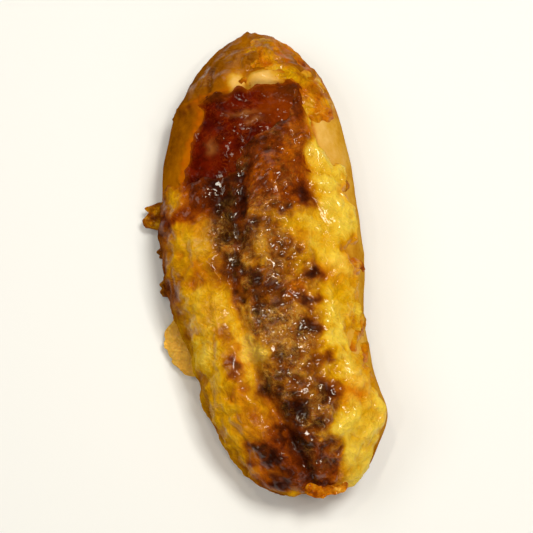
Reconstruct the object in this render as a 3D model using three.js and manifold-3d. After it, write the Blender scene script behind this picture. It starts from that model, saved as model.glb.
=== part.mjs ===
// Pizza bread stick: a bowed dough loaf with a raised lip at one end, tomato sauce in the hollow
// below the lip, and a blanket of melted cheese that runs down the sides and crisps along its hem.
// Millimetres. +Z is up, +Y runs along the stick to the lip, and the origin lies under its middle.

import * as THREE from "three";
import { mergeVertices } from "three/addons/utils/BufferGeometryUtils.js";
import Module from "manifold-3d";

const wasm = await Module();
wasm.setup();

const { abs, acos, atan2, cos, exp, hypot, max, PI, sign, sin } = Math;
const { clamp, degToRad, lerp, smoothstep } = THREE.MathUtils;

// Loaf. Along the stick, s runs from -1 at the near tip to 1 at the lip's tip.
// Across its top, a runs from -1 at the left flank to 1 at the right flank.
const LENGTH = 171;
const BELLY_WIDTH = 71;
const WIDEST_LEVEL = 12;
const DOME_HEIGHT = 21;
const BOW = 6.8;
const NEAR_TAPER = { share: 0.14, from: 0, to: 0.4 };
const LIP_END = { shoulder: 3.5, point: 1.4 };
const NEAR_LEFT = { shoulder: 4.4, point: 1.9 };
const NEAR_RIGHT = { shoulder: 6, point: 2 };
const LIP_DOME = { shoulder: 4.5, point: 2.2 };
const NEAR_DOME = { shoulder: 4, point: 2 };
const FLANK_FULLNESS = 0.82;
const DOME_FULLNESS = 0.85;
const FOOT_FULLNESS = 0.6;
const FOOT_REACH = 1.25;
const FOOT_END = 0.4;
const CORNER = { s: -0.71, length: 0.11, reach: 3.2 };

// Relief of the loaf's top.
const CREASE = { depth: 4.2, width: 0.11 };
const CREASE_LINE = { s: -0.4, shift: -0.4, towardsLip: 0.75, towardsNear: 0.4 };
const RIDGE = { height: 1.6, offset: -0.3, width: 0.2 };
const CROWN = { height: 2.2, offset: 0.36, width: 0.3 };
const TRAY = { depth: 3.4, left: -0.68, right: 0.54, near: 0.24, rim: 0.09, slope: 0.16 };
const LIP = { front: 0.69, ramp: 0.022, crest: 0.75, length: 0.11, rise: 2.8 };

// Toppings.
const CLEARANCE = 0.3;
const SAUCE = { s: 0.43, a: -0.08, length: 0.265, width: 0.62, depth: 1.5, roundness: 3.4 };
const CHEESE_DEPTH = 1.7;
const CHEESE_EDGE = 0.5;
const CHEESE_SPAN = { near: -0.99, farLeft: 0.31, farMiddle: 0.2, farRight: 0.7 };
const FAR_LOBES = { reach: 0.02, waves: 31 };
const HEM = { left: degToRad(204), right: degToRad(20), wave: degToRad(6), waves: 11 };
const LUMPS = { count: 90, height: 1.1, radius: 5 };
const STRAND = { radius: 1.6, sides: 6, steps: 6, lift: 0.3, sink: 2.2 };
const SIDE_STRANDS = { count: 9, first: -0.72, last: 0.62, lean: 0.07 };
const SIDE_STRAND = { top: degToRad(45), foot: degToRad(10), stagger: degToRad(16) };
const LIP_STRANDS = { count: 5, first: 0.7, last: 0.88, lean: 0.03 };
const LIP_STRAND = { low: degToRad(48), high: degToRad(84) };
const LIP_RUNNER = { from: { s: 0.58, turn: degToRad(45) }, to: { s: 0.92, turn: degToRad(62) } };

// Crisped cheese at the hem: where it sits, and how far it reaches out, along and up.
const FRILLS = [
  { s: 0.27, turn: degToRad(192), reach: 8.6, along: 4.4, up: 2.8 },
  { s: 0.124, turn: degToRad(194), reach: 5.4, along: 2.6, up: 2.6 },
  { s: -0.03, turn: degToRad(198), reach: 4.0, along: 4.0, up: 2.2 },
  { s: -0.29, turn: degToRad(203), reach: 9.6, along: 10, up: 2.8 },
  { s: -0.99, turn: degToRad(66), reach: 7.2, along: 3.2, up: 3.0 },
];

// Mesh fineness.
const LOAF_AROUND = 48;
const LOAF_ALONG = 46;
const BLANKET_ACROSS = 34;
const BLANKET_ALONG = 42;

// Each mesh has one line of edges along the crease: its place round the loaf and across the blanket.
const LOAF_CREASE = degToRad(105);
const BLANKET_CREASE = 14 / BLANKET_ACROSS;

const bump = (value, centre, width) => exp(-(((value - centre) / width) ** 2));
const endRound = (s, end) => max(0, 1 - abs(s) ** end.shoulder) ** (1 / end.point);

// Fractions of whole steps of the plastic number spread points evenly with no random draw.
const spread = (k, step) => (k * step) % 1;
const SPREAD_ALONG = 0.7548776662;
const SPREAD_ACROSS = 0.569840291;
const SPREAD_SIZE = 0.6180339887;

// Reach of the flank to the left (a below 0) or to the right of the bowed middle line.
function flankReach(s, a) {
  const nearEnd = a < 0 ? NEAR_LEFT : NEAR_RIGHT;
  const round = endRound(s, s > 0 ? LIP_END : nearEnd);
  const taper = 1 - NEAR_TAPER.share * smoothstep(-s, NEAR_TAPER.from, NEAR_TAPER.to);
  const corner = a > 0 ? CORNER.reach * bump(s, CORNER.s, CORNER.length) : 0;
  return round * (taper * (BELLY_WIDTH / 2) + corner);
}

function creaseLine(s) {
  const reach = s > CREASE_LINE.s ? CREASE_LINE.towardsLip : CREASE_LINE.towardsNear;
  return CREASE_LINE.shift * bump(s, CREASE_LINE.s, reach);
}

function topRelief(s, a) {
  const crease = creaseLine(s);
  const cheesy = smoothstep(s, -0.98, -0.74) * (1 - smoothstep(s, 0.3, 0.6));
  const lipFront = smoothstep(s, LIP.front - LIP.ramp, LIP.front + LIP.ramp);
  const trayAcross =
    smoothstep(a, TRAY.left - TRAY.rim, TRAY.left + TRAY.rim) *
    (1 - smoothstep(a, TRAY.right - TRAY.slope, TRAY.right + TRAY.slope));
  const trayNear = smoothstep(s, TRAY.near - TRAY.slope, TRAY.near + TRAY.slope);
  return (
    cheesy * RIDGE.height * bump(a, crease + RIDGE.offset, RIDGE.width) +
    cheesy * CROWN.height * bump(a, crease + CROWN.offset, CROWN.width) -
    cheesy * CREASE.depth * bump(a, crease, CREASE.width) -
    TRAY.depth * trayNear * trayAcross * (1 - lipFront) +
    LIP.rise * lipFront * bump(s, LIP.crest, LIP.length) * bump(a, 0, 0.8)
  );
}

// A point of the loaf's bare skin. turn goes round the section: 0 right, a quarter up, a half left.
// A relief share of 0 gives the plain loaf without the crease, the tray and the lip.
function bareSkin(s, turn, reliefShare = 1) {
  const across = sign(cos(turn)) * abs(cos(turn)) ** FLANK_FULLNESS;
  const up = sin(turn);
  const x = BOW * (s * s - 1 / 3) + flankReach(s, across) * across;
  const y = (LENGTH / 2) * s;
  if (up > 0) {
    const round = endRound(s, s > 0 ? LIP_DOME : NEAR_DOME);
    const dome = DOME_HEIGHT * round * up ** DOME_FULLNESS;
    const relief = topRelief(s, across) * smoothstep(up, 0.15, 0.55) * smoothstep(round, 0, 0.5);
    return new THREE.Vector3(x, y, WIDEST_LEVEL + dome + reliefShare * relief);
  }
  const foot = FOOT_REACH * endRound(s, s > 0 ? LIP_END : NEAR_RIGHT) ** FOOT_END;
  return new THREE.Vector3(x, y, WIDEST_LEVEL * max(0, 1 - foot * abs(up) ** FOOT_FULLNESS));
}

// The same point lifted off the skin along its normal. A thick topping is lifted along the normal of
// the plain loaf, so that it doesn't fold over itself in the crease.
function skin(s, turn, lift = 0, reliefShare = 1) {
  const point = bareSkin(s, turn);
  const step = 0.002;
  if (abs(s) > 1 - step) return point.add(new THREE.Vector3(0, sign(s) * lift, 0));
  const along = bareSkin(s + step, turn, reliefShare).sub(bareSkin(s - step, turn, reliefShare));
  const round = bareSkin(s, turn + step, reliefShare).sub(bareSkin(s, turn - step, reliefShare));
  return point.addScaledVector(along.cross(round).normalize(), lift);
}

const turnOf = (a) => acos(sign(a) * abs(a) ** (1 / FLANK_FULLNESS));
const creaseTurn = (s) => turnOf(creaseLine(s));

// Moves each vertex of a closed geometry and welds it.
function shaped(geometry, place) {
  geometry.deleteAttribute("normal");
  geometry.deleteAttribute("uv");
  const position = geometry.getAttribute("position");
  const vertex = new THREE.Vector3();
  for (let i = 0; i < position.count; i++) {
    const placed = place(vertex.fromBufferAttribute(position, i));
    position.setXYZ(i, placed.x, placed.y, placed.z);
  }
  return mergeVertices(geometry, 1e-3);
}

function solid(geometry) {
  return new wasm.Manifold(
    new wasm.Mesh({
      numProp: 3,
      vertProperties: geometry.getAttribute("position").array,
      triVerts: new Uint32Array(geometry.index.array),
    }),
  );
}

// A node of the stick from its solid. A scrap that a cut leaves loose is dropped.
function node(name, made, finish) {
  const body = made.decompose().reduce((a, b) => (a.volume() > b.volume() ? a : b));
  const { vertProperties, triVerts } = body.getMesh();
  const geometry = new THREE.BufferGeometry()
    .setAttribute("position", new THREE.BufferAttribute(vertProperties, 3))
    .setIndex(new THREE.BufferAttribute(triVerts, 1));
  geometry.computeVertexNormals();
  const mesh = new THREE.Mesh(geometry, new THREE.MeshStandardMaterial(finish));
  mesh.name = name;
  return mesh;
}

// The loaf's skin as a closed solid, lifted off by a clearance when it cuts a topping. Its rings stand
// evenly along the belly and closer at the tips, and its facets are finer on the top than underneath.
function loaf(lift = 0) {
  const ball = new THREE.SphereGeometry(1, LOAF_AROUND, LOAF_ALONG);
  const finer = (round) => round + 0.3 * cos(round);
  return solid(
    shaped(ball, ({ x, y, z }) => {
      const pole = acos(clamp(y, -1, 1));
      const s = 0.55 * y + 0.45 * (1 - (2 * pole) / PI);
      const round = finer(atan2(z, x));
      const pull = (max(0, sin(round)) / sin(finer(LOAF_CREASE))) ** 2;
      return skin(s, round + pull * (creaseTurn(s) - finer(LOAF_CREASE)), lift);
    }),
  );
}

// A lump on the skin, rough all round, fused to the piece it belongs to.
function lump({ s, turn, lift }, size, roughness) {
  const at = skin(s, turn, lift);
  const ball = new THREE.SphereGeometry(1, 10, 8);
  return solid(
    shaped(ball, (p) => {
      const rough = 1 + roughness * sin(7 * p.x + 3 * p.z) * cos(6 * p.y);
      return at.clone().add(p.clone().multiplyScalar(rough).multiply(size));
    }),
  );
}

// Sauce as a rounded pool over the skin, or the room that it needs in the cheese when it is given a
// margin. Its underside lies inside the loaf, which cuts it off.
function saucePool(margin = 0) {
  const ball = new THREE.SphereGeometry(1, 36, 14).rotateX(PI / 2);
  return solid(
    shaped(ball, ({ x, y, z }) => {
      const out = hypot(x, y) || 1;
      const power = SAUCE.roundness;
      const corner = (abs(x / out) ** power + abs(y / out) ** power) ** (-1 / power);
      const s = SAUCE.s + (SAUCE.length + (2 * margin) / LENGTH) * y * corner;
      const a = SAUCE.a + (SAUCE.width + (2 * margin) / BELLY_WIDTH) * x * corner;
      const lift = z > 0 ? margin + CLEARANCE + SAUCE.depth * z ** 0.7 : -2;
      return skin(s, turnOf(a), lift, 0);
    }),
  );
}

// Height of the melted lumps over a point of the top.
const lumps = Array.from({ length: LUMPS.count }, (_, k) => {
  const s = lerp(-0.94, 0.62, spread(k, SPREAD_ALONG));
  const at = bareSkin(s, turnOf(lerp(-0.9, 0.9, spread(k, SPREAD_ACROSS))));
  return { x: at.x, y: at.y, size: lerp(0.6, 1.25, spread(k, SPREAD_SIZE)) };
});

function lumpHeight({ x, y }) {
  const height = (l) => LUMPS.height * l.size * bump(hypot(x - l.x, y - l.y), 0, LUMPS.radius * l.size);
  return lumps.reduce((sum, l) => sum + height(l), 0);
}

// Cheese blanket from the left hem to the right one, with its far edge slanting up to the right shoulder.
function blanket() {
  const slab = new THREE.BoxGeometry(1, 1, 1, BLANKET_ACROSS, BLANKET_ALONG, 1);
  return solid(
    shaped(slab, ({ x, y, z }) => {
      const across = x + 0.5;
      const along = y + 0.5;
      const left = lerp(CHEESE_SPAN.farLeft, CHEESE_SPAN.farMiddle, smoothstep(across, 0.1, 0.4));
      const lobes = FAR_LOBES.reach * sin(FAR_LOBES.waves * across);
      const far = lerp(left, CHEESE_SPAN.farRight, smoothstep(across, 0.45, 0.85)) + lobes;
      const s = lerp(CHEESE_SPAN.near, far, along);
      const wave = HEM.wave * (sin(HEM.waves * s) + 0.5 * sin(2.3 * HEM.waves * s + 1));
      const turn =
        across < BLANKET_CREASE
          ? lerp(HEM.left - wave, creaseTurn(s), across / BLANKET_CREASE)
          : lerp(creaseTurn(s), HEM.right + wave, (across - BLANKET_CREASE) / (1 - BLANKET_CREASE));
      if (z < 0) return skin(s, turn, -1, 0);
      const body =
        smoothstep(across, 0, 0.07) *
        (1 - smoothstep(across, 0.93, 1)) *
        smoothstep(along, 0, 0.03) *
        (1 - smoothstep(along, 0.93, 1));
      const depth = CHEESE_DEPTH + 0.6 * lumpHeight(bareSkin(s, turn));
      return skin(s, turn, lerp(-CHEESE_EDGE, depth, body), 0);
    }),
  );
}

// A half-melted shred of cheese that lies on the skin between two places.
function strand(from, to) {
  const points = Array.from({ length: 5 }, (_, k) => {
    const t = k / 4;
    const wiggle = 0.012 * sin(2 * PI * t);
    const sink = STRAND.sink * (2 * t - 1) ** 4;
    return skin(lerp(from.s, to.s, t) + wiggle, lerp(from.turn, to.turn, t), STRAND.lift - sink);
  });
  const section = new THREE.Shape(
    Array.from({ length: STRAND.sides }, (_, k) => {
      const angle = (2 * PI * k) / STRAND.sides;
      return new THREE.Vector2(STRAND.radius * cos(angle), STRAND.radius * sin(angle));
    }),
  );
  const extrudePath = new THREE.CatmullRomCurve3(points);
  const tube = new THREE.ExtrudeGeometry(section, { steps: STRAND.steps, extrudePath });
  return solid(shaped(tube, (p) => p));
}

function strands() {
  const side = Array.from({ length: SIDE_STRANDS.count }, (_, k) => {
    const s = lerp(SIDE_STRANDS.first, SIDE_STRANDS.last, k / (SIDE_STRANDS.count - 1));
    const lean = SIDE_STRANDS.lean * (spread(k, SPREAD_SIZE) - 0.4);
    const foot = SIDE_STRAND.foot + SIDE_STRAND.stagger * spread(k, SPREAD_ACROSS);
    return strand({ s, turn: SIDE_STRAND.top }, { s: s - lean, turn: foot });
  });
  const lip = Array.from({ length: LIP_STRANDS.count }, (_, k) => {
    const s = lerp(LIP_STRANDS.first, LIP_STRANDS.last, k / (LIP_STRANDS.count - 1));
    const low = { s: s - LIP_STRANDS.lean, turn: LIP_STRAND.low };
    const turn = lerp(LIP_STRAND.high, LIP_STRAND.low, 0.5 * spread(k, SPREAD_ACROSS));
    return strand(low, { s: s + LIP_STRANDS.lean, turn });
  });
  return [...side, ...lip, strand(LIP_RUNNER.from, LIP_RUNNER.to)];
}

function frills() {
  return FRILLS.map(({ s, turn, reach, along, up }) =>
    lump({ s, turn, lift: 0.2 }, new THREE.Vector3(reach, along, up), 0.16),
  );
}

const doughClearance = loaf(CLEARANCE);
const sauceSolid = saucePool().subtract(doughClearance);
const cheeseSolid = [...strands(), ...frills()]
  .reduce((sum, piece) => sum.add(piece), blanket())
  .subtract(doughClearance)
  .subtract(saucePool(CLEARANCE));

const stick = new THREE.Group();
stick.add(
  node("dough", loaf(), { color: 0xc68a35, roughness: 0.6, metalness: 0 }),
  node("sauce", sauceSolid, { color: 0x7a1c0a, roughness: 0.25, metalness: 0 }),
  node("cheese", cheeseSolid, { color: 0xd9a83a, roughness: 0.35, metalness: 0 }),
);

// The origin is under the middle of the whole stick, on the surface that it rests on.
const bounds = new THREE.Box3().setFromObject(stick);
const middle = bounds.getCenter(new THREE.Vector3());
stick.position.set(-middle.x, -middle.y, -bounds.min.z);

export default stick;
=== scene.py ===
import bpy
import numpy as np
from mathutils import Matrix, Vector, noise


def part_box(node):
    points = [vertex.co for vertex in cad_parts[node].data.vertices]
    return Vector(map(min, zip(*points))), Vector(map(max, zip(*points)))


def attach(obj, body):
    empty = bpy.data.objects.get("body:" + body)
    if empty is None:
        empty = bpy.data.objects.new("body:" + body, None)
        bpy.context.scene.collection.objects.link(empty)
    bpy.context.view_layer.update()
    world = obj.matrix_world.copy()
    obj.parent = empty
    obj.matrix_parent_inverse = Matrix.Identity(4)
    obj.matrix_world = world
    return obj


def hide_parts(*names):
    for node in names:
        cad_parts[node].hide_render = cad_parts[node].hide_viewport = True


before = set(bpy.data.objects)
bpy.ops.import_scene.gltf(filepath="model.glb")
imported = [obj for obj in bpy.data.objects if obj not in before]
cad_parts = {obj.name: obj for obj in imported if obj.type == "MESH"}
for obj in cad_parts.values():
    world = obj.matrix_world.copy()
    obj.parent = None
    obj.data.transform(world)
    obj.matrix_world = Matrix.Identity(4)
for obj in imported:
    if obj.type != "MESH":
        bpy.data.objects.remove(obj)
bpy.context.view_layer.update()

# Dough loaf: one piece of soft wheat dough, rolled, laid in a slight bow on the tray and baked golden.
# Its far end is folded up into a thick browned lip, its top has a crease along the stick and a hollow
# below the lip, and its underside is flat where it lay. Sizes are in millimetres.
MM = 0.001
dough_low, dough_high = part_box("dough")
HALF_LENGTH = (dough_high.y - dough_low.y) / MM / 2
HALF_WIDTH = 35.5
WIDEST_LEVEL = 12
DOME_HEIGHT = 21
BOW = 6.8
FLANK_FULLNESS, DOME_FULLNESS = 0.82, 0.85
FOOT_TUCK = 1.25
LIP_END, LIP_DOME = (3.5, 1.4), (4.5, 2.2)
NEAR_LEFT, NEAR_RIGHT, NEAR_DOME = (4.4, 1.9), (6, 2), (4, 2)
NEAR_TAPER, NEAR_CORNER = 0.14, 3.2
LIP_FRONT, LIP_RISE, LIP_SLOPE = 0.69, 2.8, 0.022
TRAY_DEPTH, TRAY_RIGHT, TRAY_NEAR = 3.4, (0.38, 0.7), (0.08, 0.4)
CREASE_DEPTH, CREASE_WIDTH, CREASE_SWAY, CREASE_BEND = 4.2, 0.11, 0.4, -0.4
LEFT_RIDGE, RIGHT_RIDGE = 1.6, 2.2

# Small features, as places across and along from the middle of the stick, then half sizes: the curl, the
# blisters and the two pale buns of the lip, charred knobs, and a pale patch of bare bread. The folds are
# lines through such places.
LIP_CURL = (7.3, 70.2, 2.2, 2)
LIP_BLISTERS = [
    (12, 75.5, 2.2, 1.6), (15.5, 73.5, 1.8, 2), (11, 72.5, 1.5, 1.3), (19, 70, 2.4, 1.4), (-3, 66, 2, 1.5),
]
LIP_BUNS = [(1.6, 62.4, 3.8, 4.2), (11, 62, 7, 4.2)]
LIP_FOLDS = [
    [(3, 62), (6, 66), (9.5, 68), (18, 69), (24, 69)], [(-8.8, 60), (-8, 67), (-5.4, 72.7)],
    [(4.6, 58), (4.9, 65)],
]
CHAR_KNOBS = [(-17, 57.5, 4, 2.4), (-8, 59, 5, 1.6), (20, 57.5, 4, 3), (22, 39, 2.2, 2)]
PALE_BREAD = (29, 38, 6, 12)


def smoothstep(value, low, high):
    t = np.clip((value - low) / (high - low), 0, 1)
    return t * t * (3 - 2 * t)


def bump(value, centre, width):
    return np.exp(-(((value - centre) / width) ** 2))


# How full the stick still is towards an end: 1 in the middle and 0 at the tip.
def end_round(s, end):
    shoulder, point = end
    return np.maximum(0, 1 - np.abs(s) ** shoulder) ** (1 / point)


# Along the stick, s runs from -1 at the near tip to 1 at the lip's tip. Round its section, turn is 0 at
# the right flank, a quarter turn on top and a half turn at the left flank. Across, a runs from -1 to 1.
def across(turn):
    return np.sign(np.cos(turn)) * np.abs(np.cos(turn)) ** FLANK_FULLNESS


def turn_at(a):
    return np.arccos(np.sign(a) * np.abs(a) ** (1 / FLANK_FULLNESS))


def bow_at(s):
    return BOW * (s * s - 1 / 3)


def flank_reach(s, a):
    near = np.where(a < 0, end_round(s, NEAR_LEFT), end_round(s, NEAR_RIGHT))
    taper = 1 - NEAR_TAPER * smoothstep(-s, 0, 0.4)
    corner = np.where(a > 0, NEAR_CORNER * bump(s, -0.71, 0.11), 0)
    return np.where(s > 0, end_round(s, LIP_END), near) * (taper * HALF_WIDTH + corner)


def crease_at(s):
    return -CREASE_SWAY * bump(s, CREASE_BEND, np.where(s > CREASE_BEND, 0.75, 0.4))


# The lip's front is bowed, comes a step nearer at the left and has small waves.
def lip_front_at(a):
    step = 0.016 * smoothstep(a, -0.34, -0.16)
    return LIP_FRONT - 0.02 - 0.03 * a * a + step + 0.004 * np.sin(11 * a + 1) + 0.003 * np.sin(29 * a)


def behind_lip_front(s, a):
    front = lip_front_at(a)
    return smoothstep(s, front - LIP_SLOPE, front + LIP_SLOPE)


# The left side of the sauce's hollow leans along the stick and flares out at the lip.
def tray_left_at(s):
    return -0.74 + 0.6 * (s - 0.3) - 0.14 * smoothstep(s, 0.62, 0.67)


# The hollow for the sauce, from 0 outside it to 1 at its bottom.
def tray(s, a):
    left = tray_left_at(s)
    sides = smoothstep(a, left - 0.09, left + 0.13) * (1 - smoothstep(a, *TRAY_RIGHT))
    return sides * smoothstep(s, *TRAY_NEAR) * (1 - behind_lip_front(s, a))


def top_relief(s, a):
    crease = crease_at(s)
    below_tray = smoothstep(s, -0.98, -0.74) * (1 - smoothstep(s, 0.3, 0.6))
    relief = LEFT_RIDGE * bump(a, crease - 0.3, 0.2) + RIGHT_RIDGE * bump(a, crease + 0.36, 0.3)
    relief = below_tray * (relief - CREASE_DEPTH * bump(a, crease, CREASE_WIDTH))
    lip = behind_lip_front(s, a) * bump(s, 0.75, 0.11) * bump(a, 0, 0.8)
    return relief - TRAY_DEPTH * tray(s, a) + LIP_RISE * lip


def loaf(s, turn, relief=1):
    a, up = across(turn), np.sin(turn)
    x = bow_at(s) + flank_reach(s, a) * a
    dome = np.where(s > 0, end_round(s, LIP_DOME), end_round(s, NEAR_DOME))
    foot = FOOT_TUCK * np.where(s > 0, end_round(s, LIP_END), end_round(s, NEAR_RIGHT)) ** 0.4
    high = DOME_HEIGHT * dome * np.maximum(up, 0) ** DOME_FULLNESS
    high = high + relief * top_relief(s, a) * smoothstep(up, 0.15, 0.55) * smoothstep(dome, 0, 0.5)
    low = WIDEST_LEVEL * np.maximum(0, 1 - foot * np.maximum(-up, 0) ** 0.6)
    z = np.where(up > 0, WIDEST_LEVEL + high, low)
    return np.stack([x, HALF_LENGTH * s, z], axis=-1)


# The direction straight out of the loaf's plain skin.
def outward(s, turn):
    s, step = np.clip(s, -0.996, 0.996), 0.003
    along = loaf(s + step, turn, 0) - loaf(s - step, turn, 0)
    normal = np.cross(along, loaf(s, turn + step, 0) - loaf(s, turn - step, 0))
    return normal / np.maximum(np.linalg.norm(normal, axis=-1, keepdims=True), 1e-9)


def facing_up(s, turn, low, high):
    return smoothstep(outward(s, turn)[..., 2], low, high)


# Places of points in a random field, where one size is one step. Each seed reads another part of it.
SEED_STEP = 13.7


def field_places(points, size, seed):
    return (points.reshape(-1, 3) / size + SEED_STEP * seed).tolist()


# Soft random swells about one size across, from -1 to 1.
def swells(points, size, octaves=2, seed=0):
    heights = [noise.fractal(place, 1, 2, octaves) for place in field_places(points, size, seed)]
    return np.array(heights).reshape(points.shape[:-1])


# Thin folds between soft hollows, from 0 in the hollows to 1 on the folds.
def folds(points, size, octaves=2, seed=0):
    return np.maximum(0, 1 - 3 * np.abs(swells(points, size, octaves, seed)))


edge_s = np.linspace(-1, 1, 401)
left_edge = (bow_at(edge_s) - flank_reach(edge_s, -1.0)).min()
STICK_SHIFT = np.array([dough_low.x / MM - left_edge, (dough_low.y + dough_high.y) / 2 / MM, 0])


# How far points lie from a spot, seen from above: 0 at its middle and 1 at its rim. The spot is given by
# its place across and along from the stick's middle, and by its half sizes.
def from_spot(points, x, y, half_x, half_y):
    plan = points + STICK_SHIFT
    return np.hypot((plan[..., 0] - x) / half_x, (plan[..., 1] - y) / half_y)


# How far points lie from a line, seen from above. The line runs through places across and along from the
# stick's middle.
def from_line(points, line):
    plan, line = (points + STICK_SHIFT)[..., :2], np.array(line, float)
    gap = np.full(points.shape[:-1], np.inf)
    for start, run in zip(line[:-1], np.diff(line, axis=0)):
        reach = np.clip((plan - start) @ run / (run @ run), 0, 1)[..., None]
        gap = np.minimum(gap, np.linalg.norm(plan - start - reach * run, axis=-1))
    return gap


# The two soft pale buns of dough along the lip's front.
def lip_buns(points):
    return np.max([np.exp(-(from_spot(points, *bun) ** 2.4)) for bun in LIP_BUNS], axis=0)


# The folds where the lip was pressed down and pinched.
def lip_fold(points):
    return np.max([bump(from_line(points, fold), 0, 0.9) for fold in LIP_FOLDS], axis=0)


# Dark knobs where a blister charred.
def charred(points):
    wobble = 1 + 0.5 * swells(points, 2.5, 2, 15)
    return np.max([bump(from_spot(points, *knob) * wobble, 0, 0.9) for knob in CHAR_KNOBS], axis=0)


# The baked skin: the loaf with the buns, folds and pleats of its lip, and the uneven swell of the dough.
def crust(s, turn):
    a, points = across(turn), loaf(s, turn)
    lip = smoothstep(s, LIP_FRONT, LIP_FRONT + 0.05) * smoothstep(np.sin(turn), 0, 0.5)
    buns = lip_buns(points)
    rise = buns * (1.3 + 0.8 * swells(points, 4, 2, 47)) - 0.9 * lip_fold(points)
    rise = rise + charred(points) * (1.8 + 1.2 * folds(points, 3, 1, 18))
    pleats = 1.0 * folds(points * (0.8, 1.2, 1), 15, 2, 3) + 0.8 * swells(points, 8, 2, 4) - 0.4
    pleats = pleats + 0.15 * folds(points * (1, 1.6, 1), 4.5, 2, 10) * (1 - buns)
    tip_knob = 1.4 * bump(s, 0.985, 0.02) * bump(turn, np.radians(112), 0.24)
    rise = rise + lip * pleats + tip_knob
    rise = rise + lip * 1.5 * bump(from_spot(points, *LIP_CURL), 1, 0.4)
    for blister in LIP_BLISTERS:
        rise = rise + lip * 0.9 * bump(from_spot(points, *blister), 0, 1)
    rise = rise + 0.7 * swells(points, 19, 2, 1) + 0.12 * swells(points, 4, 2, 2)
    rim = bump(a, tray_left_at(s) - 0.04, 0.07) * smoothstep(s, 0.2, 0.3) * (1 - smoothstep(s, 0.66, 0.72))
    rise = rise + rim * (0.3 + 0.7 * swells(points, 2.2, 2, 9))
    above_base = smoothstep(points[..., 2], 2, 11)
    return points + outward(s, turn) * (rise * above_base)[..., None]


# Closed bodies made of rings of points, with marks on the points for the shader, as one piece.
def ringed_piece(name, bodies, marks):
    points, faces = [], []
    for body in bodies:
        rings, count = body.shape[:2]
        number = len(points) + np.arange(rings * count).reshape(rings, count)
        number = np.column_stack([number, number[:, 0]])
        corners = [number[:-1, :-1], number[1:, :-1], number[1:, 1:], number[:-1, 1:]]
        faces += np.stack(corners, axis=-1).reshape(-1, 4).tolist()
        faces += [number[0, :-1].tolist(), number[-1, -2::-1].tolist()]
        points += ((body + STICK_SHIFT) * MM).reshape(-1, 3).tolist()
    mesh = bpy.data.meshes.new(name)
    mesh.from_pydata(points, [], faces)
    mesh.shade_smooth()
    for mark_name, values in marks.items():
        layer = mesh.attributes.new(mark_name, "FLOAT", "POINT")
        layer.data.foreach_set("value", np.concatenate([np.ravel(v) for v in values]))
    piece = bpy.data.objects.new(name, mesh)
    bpy.context.scene.collection.objects.link(piece)
    return piece


# Millimetres in from the shore of the sauce, which fills the hollow below the lip and stains the bread.
def sauce_shore(s, a):
    left = (a - tray_left_at(s) + 0.05) * HALF_WIDTH
    right = (0.6 - a) * HALF_WIDTH
    far = (lip_front_at(a) + 0.014 - s) * HALF_LENGTH
    near = (s - 0.03) * HALF_LENGTH
    return np.minimum(np.minimum(left, right), np.minimum(far, near))


# The rings lie closer together towards both ends.
LOAF_RINGS, LOAF_ROUND = 320, 300
pole = np.linspace(0.035, np.pi - 0.035, LOAF_RINGS)[:, None]
loaf_s = -(0.55 * np.cos(pole) + 0.45 * (1 - 2 * pole / np.pi))
loaf_turn = np.linspace(0, 2 * np.pi, LOAF_ROUND, endpoint=False)[None, :]
loaf_s, loaf_turn = np.broadcast_arrays(loaf_s, loaf_turn)
loaf_points = crust(loaf_s, loaf_turn)
loaf_a, loaf_up, loaf_buns = across(loaf_turn), np.sin(loaf_turn), lip_buns(loaf_points)

# How browned, stained by sauce and grease, glazed with oil and scorched each point of the crust is. Shade is
# painted into the lip's folds and onto the left flank below the lip.
on_top = smoothstep(loaf_up, -0.1, 0.5)
lip_zone = smoothstep(loaf_s, 0.68, 0.75) * on_top
pale_flank = smoothstep(loaf_a, 0.5, 0.75) * (1 - lip_zone) * smoothstep(loaf_up, -0.5, 0.1)
pale_flank = pale_flank * (1 - smoothstep(np.abs(loaf_s), 0.72, 0.92))
toast_and_shade = 0.44 + 0.06 * lip_zone - 0.28 * pale_flank
toast_and_shade = toast_and_shade - 0.2 * on_top * bump(from_spot(loaf_points, *PALE_BREAD), 0, 1)
# The lip's folds are painted darker as painted shade; the buns are pale dough.
toast_and_shade = toast_and_shade + on_top * (0.14 * lip_fold(loaf_points) - 0.62 * loaf_buns)
toast_and_shade = toast_and_shade + 0.14 * swells(loaf_points, 14, 3, 5) + 0.07 * swells(loaf_points, 3, 2, 6)
toast_and_shade = toast_and_shade + 0.2 * loaf_buns * swells(loaf_points, 2.5, 2, 48)
toast_and_shade = toast_and_shade + 0.14 * smoothstep(-loaf_up, 0.5, 0.9)
# The left flank below the lip is painted darker as painted shade.
toast_and_shade = toast_and_shade + 0.1 * smoothstep(-loaf_a, 0.3, 0.7) * smoothstep(loaf_s, 0.4, 0.6)
shore = np.abs(sauce_shore(loaf_s, loaf_a) + 2 * swells(loaf_points, 5, 2, 7))
stain = on_top * (1 - smoothstep(shore, 0.3, 2.8)) * (1 - lip_zone) * (1 - loaf_buns)
stain = stain * (0.75 + 0.6 * swells(loaf_points, 2, 2, 16))
greasy = smoothstep(loaf_a, 0.3, 0.6) * smoothstep(loaf_s, 0.5, 0.6) * smoothstep(loaf_up, 0.1, 0.4)
stain = np.maximum(stain, greasy * smoothstep(swells(loaf_points, 7, 3, 8), -0.25, 0.25))
glaze = np.maximum(lip_zone, greasy) * facing_up(loaf_s, loaf_turn, 0.3, 0.7)
scorch = on_top * charred(loaf_points) * (0.6 + 0.8 * swells(loaf_points, 2, 1, 19))
loaf_marks = {"toast_and_shade": [toast_and_shade], "stain": [stain], "glaze": [glaze], "scorch": [scorch]}
dough = ringed_piece("dough_loaf", [loaf_points], loaf_marks)


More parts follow.
